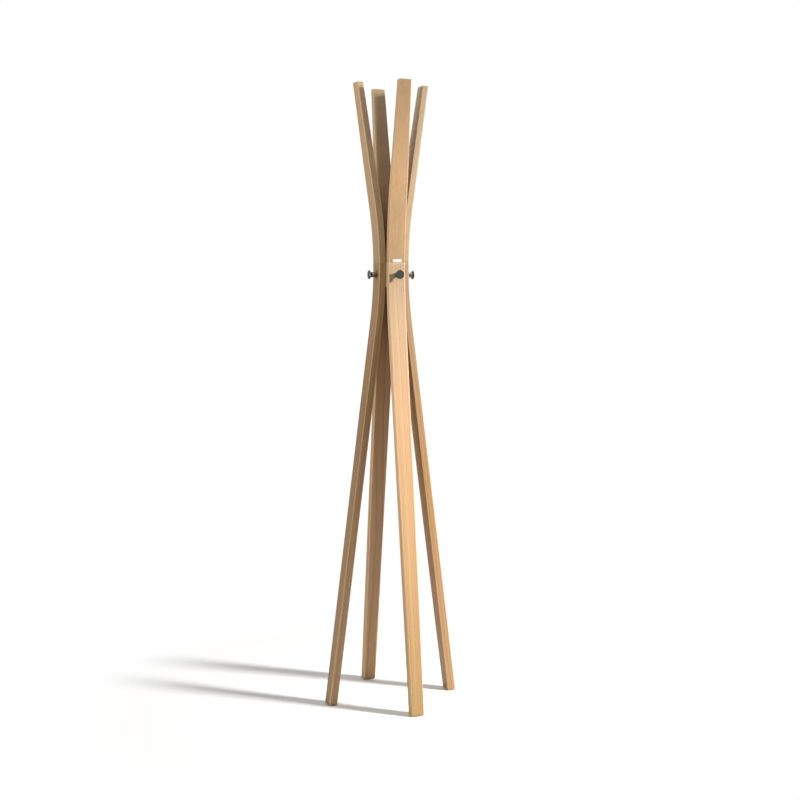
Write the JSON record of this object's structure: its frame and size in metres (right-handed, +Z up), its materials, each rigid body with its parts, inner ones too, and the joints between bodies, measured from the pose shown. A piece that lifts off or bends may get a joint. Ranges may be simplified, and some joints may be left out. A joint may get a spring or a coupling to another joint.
{
  "type": "standing coat rack",
  "caption": "Free-standing coat rack of bowed beech slats bundled round a square hub block, splayed at the top and at the floor, with turned dark metal coat pegs at the waist.",
  "frame": {"origin": "on the floor, on the rack's centre line, midway between the feet", "axes": "+Z up along the centre line; the front slat, with the label plate, faces -Y; the right slat faces +X"},
  "size_m": [0.3948, 0.3948, 1.75],
  "materials": {
    "leg_beech": "clear satin lacquer on steamed beech, fine straight grain",
    "arm_beech": "clear satin lacquer on steamed beech, a little redder than the legs",
    "block_beech": "clear satin lacquer on beech",
    "dowel_beech": "bare fluted beech",
    "peg_metal": "polished, black-nickel plated",
    "stud_steel": "zinc-plated thread",
    "insert_brass": "turned brass",
    "glide_plastic": "matt moulded plastic",
    "label_plastic": "plain satin white, blank"
  },
  "bodies": {
    "root": {"leg_front": "leg_beech", "arm_front": "arm_beech", "arm_dowels_front": "dowel_beech", "hub_dowels_front": "dowel_beech", "coat_peg_front": "peg_metal", "peg_stud_front": "stud_steel", "threaded_insert_front": "insert_brass", "foot_glide_front": "glide_plastic", "leg_right": "leg_beech", "arm_right": "arm_beech", "arm_dowels_right": "dowel_beech", "hub_dowels_right": "dowel_beech", "coat_peg_right": "peg_metal", "peg_stud_right": "stud_steel", "threaded_insert_right": "insert_brass", "foot_glide_right": "glide_plastic", "leg_back": "leg_beech", "arm_back": "arm_beech", "arm_dowels_back": "dowel_beech", "hub_dowels_back": "dowel_beech", "coat_peg_back": "peg_metal", "peg_stud_back": "stud_steel", "threaded_insert_back": "insert_brass", "foot_glide_back": "glide_plastic", "leg_left": "leg_beech", "arm_left": "arm_beech", "arm_dowels_left": "dowel_beech", "hub_dowels_left": "dowel_beech", "coat_peg_left": "peg_metal", "peg_stud_left": "stud_steel", "threaded_insert_left": "insert_brass", "foot_glide_left": "glide_plastic", "hub_block": "block_beech", "label_plate": "label_plastic"}
  },
  "joints": []
}
